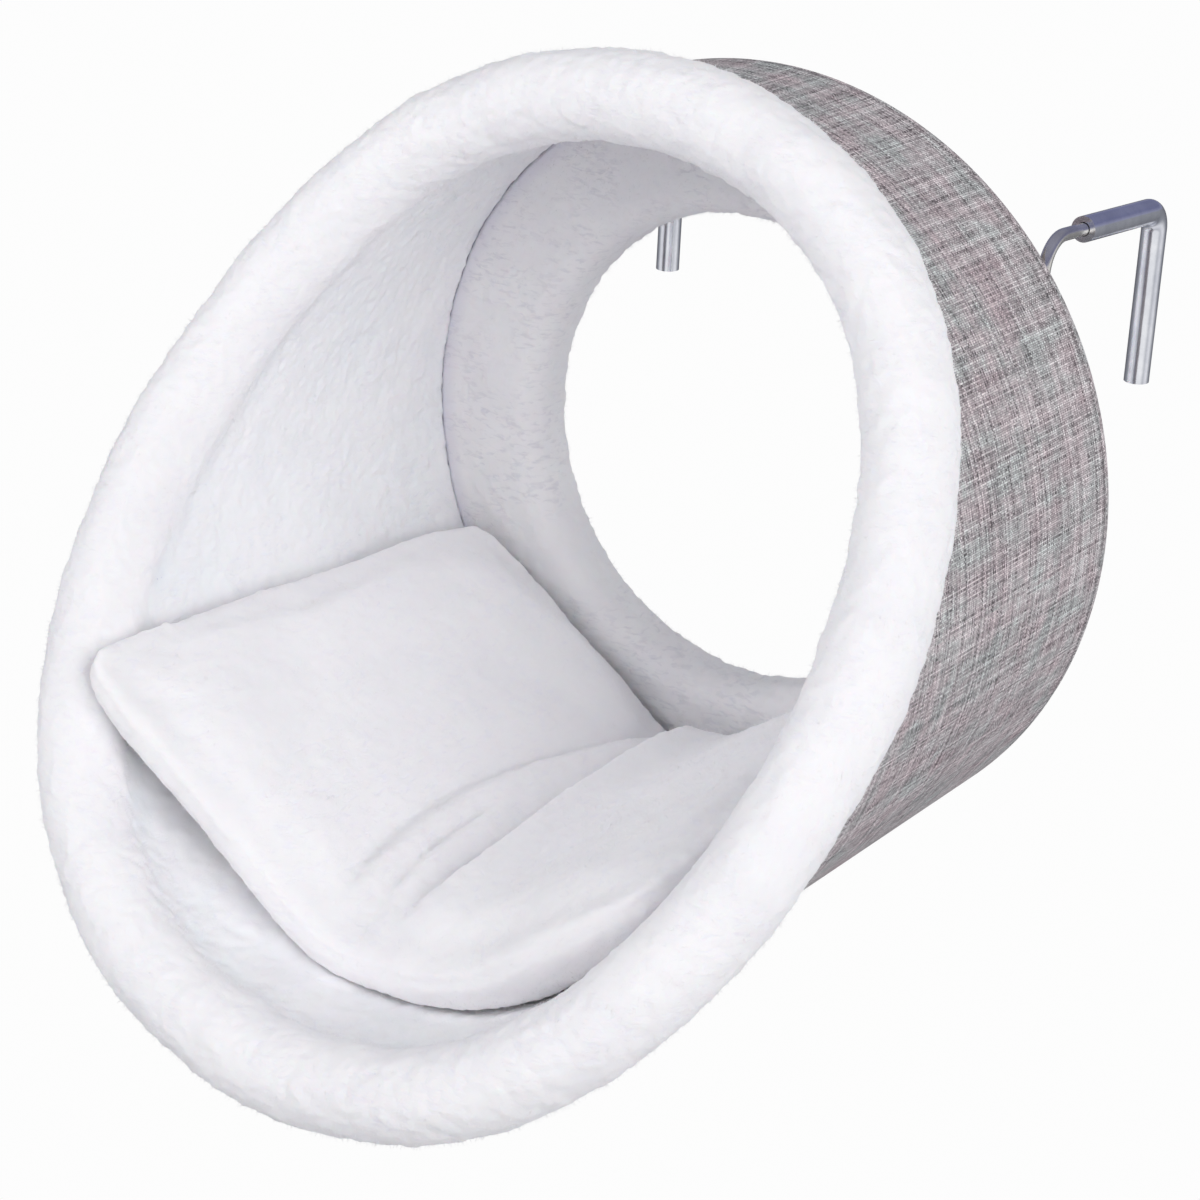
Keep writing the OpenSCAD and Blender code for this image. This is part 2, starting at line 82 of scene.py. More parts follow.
# The fibreboard tube is bent round the ring-shaped back board and screwed to its edge. Both are raw
# board, hidden under foam and fabric.
def node(tree, kind, inputs=None, **settings):
    """Adds a node to a tree; an input is a value, or another node's output to link."""
    made = tree.nodes.new(kind)
    for name, value in settings.items():
        setattr(made, name, value)
    for key, value in (inputs or {}).items():
        if isinstance(value, bpy.types.NodeSocket):
            tree.links.new(value, made.inputs[key])
        else:
            made.inputs[key].default_value = value
    return made


def finish(name, **sockets):
    """A new material with its Principled shader; sockets are the shader's uniform values."""
    material = bpy.data.materials.new(name)
    material.use_nodes = True
    shader = material.node_tree.nodes["Principled BSDF"]
    for key, value in sockets.items():
        shader.inputs[key.replace("_", " ")].default_value = value
    return material, material.node_tree, shader


def ramp(tree, factor, *stops):
    """A colour ramp of (place, colour) stops."""
    made = node(tree, "ShaderNodeValToRGB", {"Fac": factor})
    elements = made.color_ramp.elements
    while len(elements) < len(stops):
        elements.new(1)
    for element, (place, colour) in zip(elements, stops):
        element.position = place
        element.color = (*colour, 1)
    return made.outputs["Color"]


def bump(tree, shader, height, distance, strength=1.0, under=None):
    """Raises the shader's surface by height, over another bump if there is one."""
    inputs = {"Height": height, "Distance": distance, "Strength": strength}
    if under is not None:
        inputs["Normal"] = under
    made = node(tree, "ShaderNodeBump", inputs)
    tree.links.new(made.outputs["Normal"], shader.inputs["Normal"])
    return made.outputs["Normal"]


def noise(tree, place, scale, detail=3.0, rough=0.5, twist=0.0):
    """Noise read at a place, with its feature size set by scale."""
    made = node(tree, "ShaderNodeTexNoise", {"Vector": place, "Scale": scale, "Detail": detail,
                                             "Roughness": rough, "Distortion": twist})
    return made.outputs["Fac"]


def dress(material, *nodes):
    """Gives CAD nodes their material."""
    for name in nodes:
        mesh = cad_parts[name].data
        mesh.materials.clear()
        mesh.materials.append(material)


def fibreboard():
    material, tree, shader = finish("fibreboard", Roughness=0.85)
    place = node(tree, "ShaderNodeTexCoord").outputs["Object"]
    chips = noise(tree, place, 420, 6, 0.7)
    tree.links.new(ramp(tree, chips, (0.3, (0.20, 0.12, 0.06)), (0.55, (0.36, 0.24, 0.13)),
                        (0.8, (0.52, 0.38, 0.23))), shader.inputs["Base Color"])
    bump(tree, shader, chips, 0.0004)
    return material


dress(fibreboard(), "tube_board", "back_board")


# The outer cover is heathered, linen-look cloth in a plain weave of grey and reddish yarns, glued
# round the tube. Its front edge goes under the padded roll.
tube_low, tube_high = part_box("outer_cover")
bed_r = (tube_high.x - tube_low.x) / 2
axis_z = (tube_high.z + tube_low.z) / 2
rear_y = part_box("back_cover")[1].y
roll_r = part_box("rim_plush")[1].x - bed_r
depth_bottom = rear_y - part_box("rim_plush")[0].y - roll_r
depth_top = 0.112
depth_side = 0.224
mouth_bow = 0.035
edge_r = 0.011
cover_t = 0.001
cover_tuck = 0.4 * roll_r


def mouth_depth(s):
    """Depth of the mouth's edge from the rear face, at s, the height as a share of the radius."""
    slant = (depth_bottom - depth_top) / 2
    return (depth_side - slant * s + ((depth_bottom + depth_top) / 2 - depth_side) * s**2
            - mouth_bow * (s - s**3))


def in_bed(r, a, d):
    """Points at radius r, angle a and depth d of the bed, in the model's frame."""
    r, a, d = np.broadcast_arrays(r, a, d)
    return np.stack([r * np.cos(a), rear_y - d, axis_z + r * np.sin(a)], -1)


def grid_mesh(name, points, uv=None, **attributes):
    """A mesh from a grid of points, closed round its columns and round its rows."""
    rows, columns = points.shape[:2]
    j, i = np.meshgrid(np.arange(rows), np.arange(columns), indexing="ij")
    up, on = (j + 1) % rows, (i + 1) % columns
    quads = np.stack([j * columns + i, j * columns + on, up * columns + on, up * columns + i], -1)
    mesh = bpy.data.meshes.new(name)
    mesh.from_pydata(points.reshape(-1, 3).tolist(), [], quads.reshape(-1, 4).tolist())
    mesh.polygons.foreach_set("use_smooth", np.ones(len(mesh.polygons), bool))
    for key, values in attributes.items():
        made = mesh.attributes.new(key, "FLOAT", "POINT")
        made.data.foreach_set("value", values.astype(np.float32).ravel())
    if uv is not None:
        corners = np.stack([np.stack(uv(jj, ii), -1)
                            for jj, ii in ((j, i), (j, i + 1), (j + 1, i + 1), (j + 1, i))], 2)
        layer = mesh.uv_layers.new(name="cloth")
        layer.data.foreach_set("uv", corners.astype(np.float32).ravel())
    made = bpy.data.objects.new(name, mesh)
    bpy.context.scene.collection.objects.link(made)
    return made


def woven(name):
    """Plain weave on the piece's own cloth map, which is in metres."""
    yarn_pitch, wander_size, waver = 0.00096, 60.0, 0.0005
    own_share, drift_share, fleck_share, speck_share = 0.22, 0.42, 0.36, 0.10
    drift_rate, fleck_rate = 0.045, 0.22
    material, tree, shader = finish(name, Roughness=0.92, Specular_IOR_Level=0.2)
    cloth = node(tree, "ShaderNodeUVMap", uv_map="cloth").outputs["UV"]

    def maths(operation, *values, **settings):
        return node(tree, "ShaderNodeMath", dict(enumerate(values)), operation=operation,
                    **settings).outputs[0]

    def joined(x, y):
        return node(tree, "ShaderNodeCombineXYZ", {0: x, 1: y}).outputs[0]

    wander = node(tree, "ShaderNodeTexNoise",
                  {"Vector": cloth, "Scale": wander_size, "Detail": 2.0})
    shift = node(tree, "ShaderNodeVectorMath", {0: wander.outputs["Color"], 1: (-0.5, -0.5, -0.5)},
                 operation="ADD")
    shift = node(tree, "ShaderNodeVectorMath", {0: shift.outputs[0], "Scale": waver},
                 operation="SCALE")
    place = node(tree, "ShaderNodeVectorMath", {0: cloth, 1: shift.outputs[0]}, operation="ADD")
    yarns = node(tree, "ShaderNodeVectorMath", {0: place.outputs[0], "Scale": 1 / yarn_pitch},
                 operation="SCALE")
    split = node(tree, "ShaderNodeSeparateXYZ", {0: yarns.outputs[0]})
    x, y = split.outputs[0], split.outputs[1]
    column, row = maths("FLOOR", x), maths("FLOOR", y)
    over = maths("MODULO", maths("ADD", column, maths("ADD", row, 20000.0)), 2.0)

    def bead(along):
        off = maths("ABSOLUTE", maths("SUBTRACT", maths("FRACT", along), 0.5))
        return maths("SUBTRACT", 1.0, maths("POWER", maths("MULTIPLY", off, 2.0), 3.0))

    height = maths("MULTIPLY", bead(x), bead(y))

    def tone(number, along):
        """Tone of a yarn: its own, one that drifts along it and one that flecks it."""
        own = node(tree, "ShaderNodeTexWhiteNoise", {"W": number}, noise_dimensions="1D")
        seat = maths("MULTIPLY", number, 3.7)
        drift = noise(tree, joined(seat, maths("MULTIPLY", along, drift_rate)), 1.0, 1, 0.6)
        fleck = noise(tree, joined(seat, maths("MULTIPLY", along, fleck_rate)), 1.0, 2, 0.7)
        parts = maths("ADD", maths("MULTIPLY", own.outputs["Value"], own_share),
                      maths("MULTIPLY", drift, drift_share))
        return maths("ADD", parts, maths("MULTIPLY", fleck, fleck_share))

    warp, weft = tone(column, y), tone(maths("ADD", row, 0.5), x)
    on_top = maths("ADD", 0.18, maths("MULTIPLY", over, 0.64))
    yarn = node(tree, "ShaderNodeMix", {0: on_top, 2: warp, 3: weft}, data_type="FLOAT").outputs[0]
    speck = node(tree, "ShaderNodeTexWhiteNoise", {"Vector": joined(column, row)},
                 noise_dimensions="2D").outputs["Value"]
    value = maths("ADD", maths("MULTIPLY", yarn, 1 - speck_share),
                  maths("MULTIPLY", speck, speck_share))
    grey = ramp(tree, value, (0.33, (0.12, 0.112, 0.116)), (0.43, (0.40, 0.375, 0.385)),
                (0.53, (0.66, 0.63, 0.64)), (0.65, (1.0, 0.98, 0.98)))
    bands = [noise(tree, node(tree, "ShaderNodeMapping",
                              {"Vector": cloth, "Scale": size}).outputs[0], 1.0, 3, 0.6)
             for size in ((75, 26, 1), (26, 75, 1))]
    patches = maths("MULTIPLY", maths("ADD", *bands), 0.5)
    tint = ramp(tree, patches, (0.40, (0.92, 0.985, 0.97)), (0.47, (0.98, 0.98, 0.98)),
                (0.54, (1.0, 0.94, 0.955)), (0.66, (1.0, 0.87, 0.90)))
    tinted = node(tree, "ShaderNodeMix", {0: 1.0, 6: grey, 7: tint}, data_type="RGBA",
                  blend_type="MULTIPLY")
    # Painted shade between the yarns: the colour darkens where the weave's height is low.
    yarn_gap_shade = ramp(tree, height, (0.10, (0.34, 0.33, 0.34)), (0.50, (1.0, 1.0, 1.0)))
    shaded = node(tree, "ShaderNodeMix", {0: 1.0, 6: tinted.outputs[2], 7: yarn_gap_shade}, data_type="RGBA",
                  blend_type="MULTIPLY")
    tree.links.new(shaded.outputs[2], shader.inputs["Base Color"])
    under = bump(tree, shader, height, 0.00022, 0.7)
    bump(tree, shader, yarn, 0.0006, 0.6, under)
    return material


cover_columns = 360
cover_rows = 44
a = np.arange(cover_columns) / cover_columns * 2 * math.pi
depths = np.linspace(0, 1, cover_rows)[:, None]
cover_front = mouth_depth(np.sin(a)) - cover_tuck
outer = edge_r + (cover_front - edge_r) * depths
outside = in_bed(bed_r + 0 * outer, a + 0 * outer, outer)
inside = in_bed(bed_r - cover_t + 0 * outer, a + 0 * outer, outer)[::-1]
depth_of = np.concatenate([outer, outer[::-1]])


def cover_uv(j, i):
    return i / cover_columns * 2 * math.pi * bed_r, depth_of[j % len(depth_of), i % cover_columns]


cover = grid_mesh("woven_cover", np.concatenate([outside, inside]), cover_uv)
cover.data.materials.append(woven("woven_cover"))
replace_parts(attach(cover, "bed"), "outer_cover")


# The back cover is the same cloth, stretched over the back board's rear face and its rounded
# edge, where it meets the outer cover.
back_columns = 360
back_rows = 22
edge_steps = 12
inner_edge = 0.1341
flat_rows = np.linspace(inner_edge, bed_r - edge_r, back_rows)
bend = np.linspace(0, math.pi / 2, edge_steps)[1:]
section = [(r, 0.0, r) for r in flat_rows] + [
    (bed_r - edge_r + edge_r * math.sin(t), edge_r * (1 - math.cos(t)),
     bed_r - edge_r + edge_r * t) for t in bend]
section += [(bed_r - cover_t, edge_r, section[-1][2] + cover_t)] + [
    (bed_r - edge_r + (edge_r - cover_t) * math.sin(t),
     edge_r - (edge_r - cover_t) * math.cos(t), bed_r - edge_r + edge_r * t) for t in bend[-2::-2]]
section += [(bed_r - edge_r, cover_t, bed_r - edge_r), (inner_edge, cover_t, inner_edge)]
section = np.array(section)[:, :, None]
a = np.arange(back_columns) / back_columns * 2 * math.pi
back_points = in_bed(section[:, 0] + 0 * a, a + 0 * section[:, 0], section[:, 1] + 0 * a)


def back_uv(j, i):
    far = section[j % len(section), 2, 0]
    turn = i / back_columns * 2 * math.pi
    return far * np.cos(turn), far * np.sin(turn)


back = grid_mesh("woven_back", back_points[::-1], lambda j, i: back_uv(len(section) - 1 - j, i))
back.data.materials.append(woven("woven_back"))
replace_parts(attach(back, "bed"), "back_cover")


# The foam under the plush is open-celled and cream-coloured. The cushion's filling is loose
# polyester fibre. Both are hidden.
def foam(name, colour, scale):
    material, tree, shader = finish(name, Roughness=0.95)
    place = node(tree, "ShaderNodeTexCoord").outputs["Object"]
    cells = node(tree, "ShaderNodeTexVoronoi", {"Vector": place, "Scale": scale})
    # Darker toward each cell's middle: painted shade in the cell's hollow, for both the foam and
    # the fibre filling.
    dark = tuple(0.72 * c for c in colour)
    tree.links.new(ramp(tree, cells.outputs["Distance"], (0.0, dark), (0.5, colour)),
                   shader.inputs["Base Color"])
    bump(tree, shader, cells.outputs["Distance"], 0.0004)
    return material


dress(foam("foam", (0.82, 0.76, 0.55), 900), "wall_foam", "ring_foam", "hole_roll_core", "rim_core")
dress(foam("fibre_filling", (0.9, 0.9, 0.88), 300), "cushion_filling")


# The plush is knitted polyester with a dense, soft white pile that clumps and parts a little. One
# sleeve of it covers the roll and the inside of the tube.
plush_t = 0.00235
inside_r = (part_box("wall_lining")[1].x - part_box("wall_lining")[0].x) / 2 - plush_t
back_d = 0.030


def mouth_grade(a):
    """Rise of the mouth's edge along the tube's surface, at angle a round the tube."""
    s = np.sin(a)
    return ((depth_bottom - depth_top) / 2 - 2 * ((depth_bottom + depth_top) / 2 - depth_side) * s
            + mouth_bow * (1 - 3 * s**2)) * np.cos(a) / bed_r


def plush(name, shade=1.0, painted_parting_shade=0.97):
    """White pile, with painted bluish shade where the pile parts and in seam grooves where the pile
    is low.
    """
    material, tree, shader = finish(name, Roughness=1.0, Sheen_Weight=0.25, Sheen_Roughness=0.5,
                                    Specular_IOR_Level=0.05, Subsurface_Weight=0.12,
                                    Subsurface_Scale=0.004)
    place = node(tree, "ShaderNodeTexCoord").outputs["Object"]
    brushed = noise(tree, place, 22, 3, 0.5, 0.6)
    tufts = noise(tree, place, 260, 3, 0.6, 1.2)
    fibres = noise(tree, place, 1100, 3, 0.65, 0.4)
    sparse = noise(tree, place, 24, 2, 0.5)
    flat = node(tree, "ShaderNodeMapping", {"Vector": place, "Scale": (170, 170, 460)}).outputs[0]
    strokes = noise(tree, flat, 1.0, 2, 0.5, 0.7)

    def falling(value, low, high):
        """1 where a value is under low, down to 0 where it is over high."""
        return node(tree, "ShaderNodeMapRange", {"Value": value, "From Min": low, "From Max": high,
                                                 "To Min": 1.0, "To Max": 0.0}).outputs["Result"]

    parted = node(tree, "ShaderNodeMath", {0: falling(strokes, 0.52, 0.74),
                                           1: falling(sparse, 0.44, 0.58)},
                  operation="MAXIMUM").outputs[0]
    # The first number scales the whole colour; below 1 it is painted shade on a copy of the plush.
    dull, bright = [tuple(shade * c for c in colour)
                    for colour in ((0.928, 0.917, 0.944), (0.964, 0.953, 0.972))]
    wide = ramp(tree, brushed, (0.36, dull), (0.62, bright))
    # Painted bluish shade where the pile parts, where parted falls to 0.
    near = ramp(tree, parted, (0.0, (painted_parting_shade, painted_parting_shade, painted_parting_shade + 0.03)), (1.0, (1.0, 1.0, 1.0)))
    mixed = node(tree, "ShaderNodeMix", {0: 1.0, 6: wide, 7: near}, data_type="RGBA",
                 blend_type="MULTIPLY")
    # Painted bluish shade in seam grooves, where the pile attribute is low.
    pile = node(tree, "ShaderNodeAttribute", attribute_name="pile").outputs["Fac"]
    painted_seam_shade = ramp(tree, pile, (0.0, (0.76, 0.75, 0.88)), (0.8, (1.0, 1.0, 1.0)))
    mixed = node(tree, "ShaderNodeMix", {0: 1.0, 6: mixed.outputs[2], 7: painted_seam_shade}, data_type="RGBA",
                 blend_type="MULTIPLY")
    tree.links.new(mixed.outputs[2], shader.inputs["Base Color"])
    under = bump(tree, shader, parted, 0.0006, 0.25)
    under = bump(tree, shader, tufts, 0.0008, 0.12, under)
    bump(tree, shader, fibres, 0.0003, 0.20, under)
    return material


def pile_tree():
    """Raises the pile's lumps, clumps and tufts and plants fine leaning fibres on it."""
    tree = bpy.data.node_groups.new("pile", "GeometryNodeTree")
    tree.is_modifier = True
    sides = tree.interface
    sides.new_socket("Geometry", in_out="INPUT", socket_type="NodeSocketGeometry")
    for name, value in (("Lump size", 0.060), ("Lump height", 0.0018),
                        ("Clump size", 0.012), ("Clump height", 0.0013),
                        ("Tuft size", 0.0044), ("Tuft height", 0.0009),
                        ("Fibres per square metre", 170000.0), ("Fibre length", 0.0019),
                        ("Fibre radius", 0.00008), ("Lean", 1.3)):
        made = sides.new_socket(name, in_out="INPUT", socket_type="NodeSocketFloat")
        made.default_value = value
    sides.new_socket("Seed", in_out="INPUT", socket_type="NodeSocketInt")
    sides.new_socket("Material", in_out="INPUT", socket_type="NodeSocketMaterial")
    sides.new_socket("Geometry", in_out="OUTPUT", socket_type="NodeSocketGeometry")
    given = node(tree, "NodeGroupInput").outputs

    def maths(operation, *values):
        return node(tree, "ShaderNodeMath", dict(enumerate(values)), operation=operation).outputs[0]

    def vectors(operation, first, second, key=1):
        return node(tree, "ShaderNodeVectorMath", {0: first, key: second},
                    operation=operation).outputs[0]

    place = node(tree, "GeometryNodeInputPosition").outputs[0]
    shifted = vectors("ADD", place, vectors("SCALE", (3.1, 1.7, 2.3), given["Seed"], "Scale"))
    pile = node(tree, "GeometryNodeInputNamedAttribute", {"Name": "pile"},
                data_type="FLOAT").outputs["Attribute"]
    normal = node(tree, "GeometryNodeInputNormal").outputs[0]

    def hills(size, height, detail, twist):
        raised = noise(tree, shifted, maths("DIVIDE", 1.0, size), detail, 0.5, twist)
        return maths("MULTIPLY", maths("SUBTRACT", raised, 0.5), height)

    rise = maths("ADD", hills(given["Clump size"], given["Clump height"], 2.0, 0.8),
                 hills(given["Tuft size"], given["Tuft height"], 1.0, 0.6))
    rise = maths("ADD", rise, hills(given["Lump size"], given["Lump height"], 1.0, 0.4))
    rise = maths("MULTIPLY", maths("MULTIPLY", rise, 2.0), pile)
    offset = vectors("SCALE", normal, rise, "Scale")
    raised = node(tree, "GeometryNodeSetPosition",
                  {"Geometry": given["Geometry"], "Offset": offset})
    density = maths("MULTIPLY", given["Fibres per square metre"], pile)
    spots = node(tree, "GeometryNodeDistributePointsOnFaces",
                 {"Mesh": raised.outputs[0], "Density": density, "Seed": given["Seed"]})
    blade = node(tree, "GeometryNodeMeshCone",
                 {"Vertices": 3, "Radius Top": 0.0, "Radius Bottom": given["Fibre radius"],
                  "Depth": given["Fibre length"]}, fill_type="NONE")
    swirl = node(tree, "ShaderNodeTexNoise", {"Vector": shifted, "Scale": 70.0, "Detail": 3.0})
    lean = vectors("ADD", swirl.outputs["Color"], (-0.5, -0.5, -0.55))
    jitter = node(tree, "FunctionNodeRandomValue",
                  {0: (-0.5, -0.5, -0.5), 1: (0.5, 0.5, 0.5), "Seed": given["Seed"]},
                  data_type="FLOAT_VECTOR")
    lean = vectors("ADD", vectors("SCALE", lean, 4.0, "Scale"), jitter.outputs[0])
    lean = vectors("SCALE", lean, given["Lean"], "Scale")
    towards = vectors("ADD", lean, spots.outputs["Normal"])
    turn = node(tree, "FunctionNodeAlignRotationToVector", {"Vector": towards}, axis="Z")
    size = node(tree, "FunctionNodeRandomValue", {2: 0.5, 3: 1.3, "Seed": given["Seed"]},
                data_type="FLOAT")
    planted = node(tree, "GeometryNodeInstanceOnPoints",
                   {"Points": spots.outputs["Points"], "Instance": blade.outputs["Mesh"],
                    "Rotation": turn.outputs[0], "Scale": size.outputs[1]})
    grown = node(tree, "GeometryNodeRealizeInstances", {0: planted.outputs[0]})
    grown = node(tree, "GeometryNodeStoreNamedAttribute",
                 {"Geometry": grown.outputs[0], "Name": "pile", "Value": 1.0}, data_type="FLOAT",
                 domain="POINT")
    joined = node(tree, "GeometryNodeJoinGeometry", {0: raised.outputs[0]})
    tree.links.new(grown.outputs[0], joined.inputs[0])
    real = node(tree, "GeometryNodeRealizeInstances", {0: joined.outputs[0]})
    smooth = node(tree, "GeometryNodeSetShadeSmooth", {0: real.outputs[0], "Shade Smooth": True})
    painted = node(tree, "GeometryNodeSetMaterial",
                   {0: smooth.outputs[0], "Material": given["Material"]})
    node(tree, "NodeGroupOutput", {0: painted.outputs[0]})
    return tree


pile_group = pile_tree()


def bake(piece):
    """Turns a piece's modifiers into its plain mesh."""
    now = piece.evaluated_get(bpy.context.evaluated_depsgraph_get())
    mesh = bpy.data.meshes.new_from_object(now)
    piece.modifiers.clear()
    piece.data = mesh
    return mesh


def grow_pile(piece, material, seed, **sizes):
    """Runs the pile on a piece and keeps the result as its plain mesh."""
    made = piece.modifiers.new("pile", "NODES")
    made.node_group = pile_group
    given = dict(sizes, Seed=seed, Material=material)
    for item in pile_group.interface.items_tree:
        if item.in_out == "INPUT" and item.name.replace(" ", "_") in given:
            made[item.identifier] = given[item.name.replace(" ", "_")]
    bake(piece)


sleeve_columns = 840
roll_steps = 76
fillet_steps = 11
wall_rows = 120
fold_rows = 5
core_steps = 9
fold_thinning = 0.7
hem_turn = 0.12
pile_start_rows = 6
fillet_r = 0.030
groove = 0.0016
hidden_core = roll_r - plush_t
wall_u = inside_r - bed_r
fillet_v = math.sqrt((roll_r + fillet_r)**2 - (wall_u - fillet_r)**2)
leave = math.atan2(fillet_v, wall_u - fillet_r)
turns = np.linspace(math.pi / 2, leave - 2 * math.pi, roll_steps)
near_points = [(roll_r * math.cos(t), roll_r * math.sin(t)) for t in turns]
back_turn = math.atan2(-fillet_v, fillet_r - wall_u)
for t in np.linspace(back_turn, 0, fillet_steps)[1:]:
    near_points.append((wall_u - fillet_r + fillet_r * math.cos(t),
                        fillet_v + fillet_r * math.sin(t)))

a = np.arange(sleeve_columns) / sleeve_columns * 2 * math.pi
grade = mouth_grade(a)
stretch = np.sqrt(1 + grade**2)
mouth = mouth_depth(np.sin(a))


def by_rim(u, v):
    """Radius, angle and depth of a point u outside the tube's surface and v behind its edge."""
    return bed_r + u + 0 * a, a - grade / stretch * v / bed_r, mouth - v / stretch


def ragged(a):
    """How the pile's edge at the foot of the wall comes and goes, as a share of the groove."""
    return 0.3 * np.sin(61 * a) * np.sin(23 * a + 1) + 0.25 * np.sin(139 * a)


rows = [by_rim(u, v) for u, v in near_points]
# Where the pile thins, at the hem by the cover and into the groove at the foot of the wall, the
# plush also gets painted bluish shade.
pile_rows = [min(1.0, k / pile_start_rows) for k in range(len(rows))]
wall_r, wall_a, wall_start = rows[-1]
wall_end = back_d + groove * (1 + ragged(a))
for k in range(1, wall_rows + 1):
    share = k / wall_rows
    rows.append((wall_r, wall_a, wall_start + (wall_end - wall_start) * share))
    pile_rows.append(1.0)
for k in range(1, fold_rows + 1):
    t = k / fold_rows * math.pi / 2
    rows.append((wall_r + groove * (1 - math.cos(t)), wall_a, wall_end - 2 * groove * math.sin(t)))
    pile_rows.append(1 - fold_thinning * k / fold_rows)
rows.append((wall_r + groove, wall_a, back_d - 4 * groove + 0 * a))
rows.append((wall_r + 1.2 * groove, wall_a, back_d - 4 * groove + 0 * a))
rows.append((wall_r + 1.2 * groove, wall_a, wall_start))
for t in np.linspace(leave, math.pi / 2 + hem_turn, core_steps):
    rows.append(by_rim(hidden_core * math.cos(t), hidden_core * math.sin(t)))
pile_rows += [0.0] * (len(rows) - len(pile_rows))
sleeve_points = np.stack([in_bed(*row) for row in rows])
pile_mask = np.repeat(np.array(pile_rows)[:, None], sleeve_columns, 1)
sleeve = grid_mesh("plush_sleeve", sleeve_points, pile=pile_mask)
white_plush = plush("white_plush")
grow_pile(sleeve, white_plush, 1)
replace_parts(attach(sleeve, "bed"), "rim_plush", "wall_lining")


# The ring lining is a ring of the same plush over the foam on the front of the back. It is drawn
# through the hole, round its foam edging, and glued behind it.
ring_columns = 560
hole_r = 0.115
hole_front_r = 0.014
hole_rear_r = 0.005
edging_r = 0.134
ring_out = inside_r + groove - 0.0001
ring_dip = 0.0014
seam_rows = 14
glue_rows = 8
dip_steps, face_steps, front_steps = 6, 26, 15
hole_steps, rear_steps, tail_steps = 9, 7, 10
section = []
for t in np.linspace(math.pi / 2, 0, dip_steps):
    section.append((ring_out - ring_dip * math.cos(t), back_d - ring_dip * math.sin(t)))
front_start = section[-1][0]
for r in np.linspace(front_start, hole_r + hole_front_r, face_steps)[1:]:
    section.append((r, back_d))
for t in np.linspace(math.pi / 2, math.pi, front_steps)[1:]:
    section.append((hole_r + hole_front_r + hole_front_r * math.cos(t),
                    back_d - hole_front_r + hole_front_r * math.sin(t)))
for d in np.linspace(back_d - hole_front_r, hole_rear_r, hole_steps)[1:]:
    section.append((hole_r, d))
for t in np.linspace(math.pi, math.pi * 1.5, rear_steps)[1:]:
    section.append((hole_r + hole_rear_r + hole_rear_r * math.cos(t),
                    hole_rear_r + hole_rear_r * math.sin(t)))
for r in np.linspace(hole_r + hole_rear_r, edging_r, tail_steps)[1:]:
    section.append((r, 0.0))
seen_rows = len(section)
section += [(edging_r, plush_t), (hole_r + hole_rear_r, plush_t), (hole_r + plush_t, hole_rear_r),
            (hole_r + plush_t, back_d - hole_front_r), (hole_r + hole_front_r, back_d - plush_t),
            (ring_out, back_d - plush_t - ring_dip)]
section = np.array(section)[:, :, None]
a = np.arange(ring_columns) / ring_columns * 2 * math.pi
ring_points = in_bed(section[:, 0] + 0 * a, a + 0 * section[:, 0], section[:, 1] + 0 * a)
# Low pile at the seam by the wall, and where the ring meets the back cover, also gives painted
# bluish shade there.
pile_mask = np.zeros((len(section), ring_columns))
pile_mask[:seen_rows] = 1.0
pile_mask[:seam_rows] = np.linspace(0.0, 1.0, seam_rows)[:, None]
pile_mask[seen_rows - glue_rows:seen_rows] *= np.linspace(0.8, 0, glue_rows)[:, None]
ring = grid_mesh("plush_ring", ring_points, pile=pile_mask)
# The ring's copy is painted darker, as painted shade deep in the tube, with deeper painted shade
# where its pile parts.
grow_pile(ring, plush("back_plush", 0.91, 0.86), 2, Lump_height=0.0010)
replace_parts(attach(ring, "bed"), "ring_lining")


# The rod is drawn steel wire, bent cold and left bright, with drawing lines along it. The straps
# and screws that hold it are zinc plated.
def steel(name, dark, light, rough, lines):
    material, tree, shader = finish(name, Metallic=1.0)
    place = node(tree, "ShaderNodeTexCoord").outputs["Object"]
    stain = noise(tree, place, 60, 4, 0.6)
    drawn = node(tree, "ShaderNodeMapping", {"Vector": place, "Scale": lines}).outputs[0]
    fine = noise(tree, drawn, 1.0, 3, 0.6)
    tree.links.new(ramp(tree, stain, (0.35, dark), (0.65, light)), shader.inputs["Base Color"])
    worn = node(tree, "ShaderNodeMapRange", {"Value": fine, "To Min": rough * 0.7,
                                             "To Max": rough * 1.4})
    tree.links.new(worn.outputs["Result"], shader.inputs["Roughness"])
    bump(tree, shader, fine, 0.00006, 0.5)
    return material


dress(steel("rod_steel", (0.71, 0.685, 0.63), (0.90, 0.875, 0.82), 0.22, (900, 900, 90)),
      "hanger_rod")
dress(steel("screw_steel", (0.50, 0.51, 0.53), (0.72, 0.73, 0.75), 0.32, (600, 600, 600)),
      "rod_straps", "strap_screws", "edge_screws")


# The hooks are bent steel tube with bright, bluish zinc plating, open at both ends, and each
# slides on an arm of the rod.
hook_finish = steel("hook_plating", (0.75, 0.765, 0.82), (0.93, 0.94, 0.975), 0.16, (700, 120, 120))
dress(hook_finish, "left_hook_tube", "right_hook_tube")


# The cushion is a plush bag of loose fibre, sewn shut round its edge. It is wider than the trough
# of the tube, so it bends into two sides, and its top creases along the bend.
cushion_w = 0.364
cushion_l = 0.271
cushion_h = 0.054
seam_t = 0.008
side_slope = math.radians(37)
bend_r = 0.070
cushion_lift = 0.018
left_flare = 0.055
side_hollow = 0.015
slope_gain = math.radians(2)
lift_fall = 0.2
wider_bend = 0.7
rear_round, front_round, far_round = 0.045, 0.034, 0.10
left_reach, right_reach = 0.012, 0.003
top_edge, top_crown, low_edge, low_crown = 0.15, 0.15, 0.22, 0.48
rear_gap = 0.0008
pile_gap = 0.0020
roll_spread = 0.55
soft = 0.005


